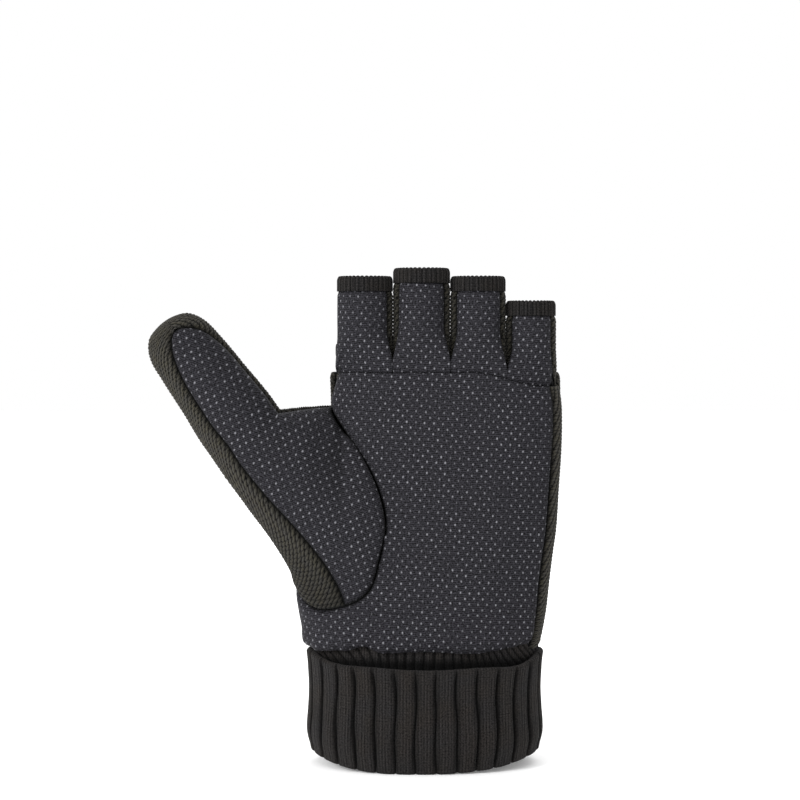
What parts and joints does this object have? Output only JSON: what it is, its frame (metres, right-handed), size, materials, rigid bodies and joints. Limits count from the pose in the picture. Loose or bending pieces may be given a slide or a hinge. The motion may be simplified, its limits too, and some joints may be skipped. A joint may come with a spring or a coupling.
{
  "type": "convertible fingerless glove",
  "caption": "Left-hand convertible fingerless glove with half-finger stubs, closed thumb, grip palm, knitted back, fold-back hood and turned-up rib cuff.",
  "frame": {"origin": "centre of the wrist opening, on the plane of the cuff's lower edge", "axes": "+Z from the cuff to the fingers, -Y is the palm's outward side, -X is the thumb's side"},
  "size_m": [0.1525, 0.0608, 0.182],
  "materials": {
    "rib_knit": "coarse rib knit in black acrylic and wool yarn, matt with a slight haze of fibres",
    "elastic": "covered round and flat elastic, black, matt",
    "grip_fabric": "dark slate stretch fabric printed with small raised light grey grip dots",
    "melange_knit": "chunky moss-stitch knit in dark olive-brown melange yarn",
    "fleece": "brushed fleece lining, charcoal, matt",
    "horn_button": "dark brown polyester button with a horn-like grain",
    "sewing_thread": "black polyester sewing thread"
  },
  "bodies": {
    "hand": {"cuff_turnup": "rib_knit", "cuff_inner_layer": "rib_knit", "wrist_elastic": "elastic", "palm_panel": "grip_fabric", "back_panel": "melange_knit", "palm_lining": "fleece", "back_lining": "fleece", "thumb_base_front": "grip_fabric", "thumb_base_back": "melange_knit", "button": "horn_button", "button_thread": "sewing_thread"},
    "thumb": {"thumb_front": "grip_fabric", "thumb_back": "melange_knit", "thumb_lining": "fleece"},
    "index": {"index_front": "grip_fabric", "index_back": "melange_knit", "index_lining": "fleece", "index_band": "rib_knit"},
    "middle": {"middle_front": "grip_fabric", "middle_back": "melange_knit", "middle_lining": "fleece", "middle_band": "rib_knit"},
    "ring": {"ring_front": "grip_fabric", "ring_back": "melange_knit", "ring_lining": "fleece", "ring_band": "rib_knit"},
    "pinky": {"pinky_front": "grip_fabric", "pinky_back": "melange_knit", "pinky_lining": "fleece", "pinky_band": "rib_knit"},
    "hood": {"hood_back_panel": "melange_knit", "hood_back_lining": "fleece", "hood_side_strip": "melange_knit", "hood_loop": "elastic"},
    "hood_front": {"hood_front_panel": "grip_fabric", "hood_front_lining": "fleece", "hood_hem": "rib_knit"}
  },
  "joints": [
    {"name": "hood_flip", "type": "hinge", "parent": "hand", "child": "hood", "pos_m": [0.0078, 0.0146, 0.144], "axis": [1, 0, 0], "range_deg": [0, 176], "deforming": ["hood_front_panel", "hood_front_lining", "hood_hem", "hood_side_strip", "hood_loop"]},
    {"name": "hood_open", "type": "slide", "parent": "hood", "child": "hood_front", "axis": [0, 0.9972, 0.075], "range_m": [0, 0.018]},
    {"name": "thumb_bend", "type": "hinge", "parent": "hand", "child": "thumb", "pos_m": [-0.0663, -0.006, 0.122], "axis": [-0.8161, 0, -0.5779], "range_deg": [-40, 0]},
    {"name": "index_bend", "type": "hinge", "parent": "hand", "child": "index", "pos_m": [-0.0222, -0.0005, 0.154], "axis": [-1, 0, 0], "range_deg": [-60, 0]},
    {"name": "middle_bend", "type": "hinge", "parent": "hand", "child": "middle", "pos_m": [-0.0013, -0.0005, 0.156], "axis": [-1, 0, 0], "range_deg": [-60, 0]},
    {"name": "ring_bend", "type": "hinge", "parent": "hand", "child": "ring", "pos_m": [0.0195, -0.0005, 0.154], "axis": [-1, 0, 0], "range_deg": [-60, 0]},
    {"name": "pinky_bend", "type": "hinge", "parent": "hand", "child": "pinky", "pos_m": [0.039, -0.0005, 0.148], "axis": [-1, 0, 0], "range_deg": [-60, 0]}
  ],
  "couplings": [
    {"joint": "hood_open", "follows": "hood_flip", "m_per_rad": 0.0058598}
  ]
}
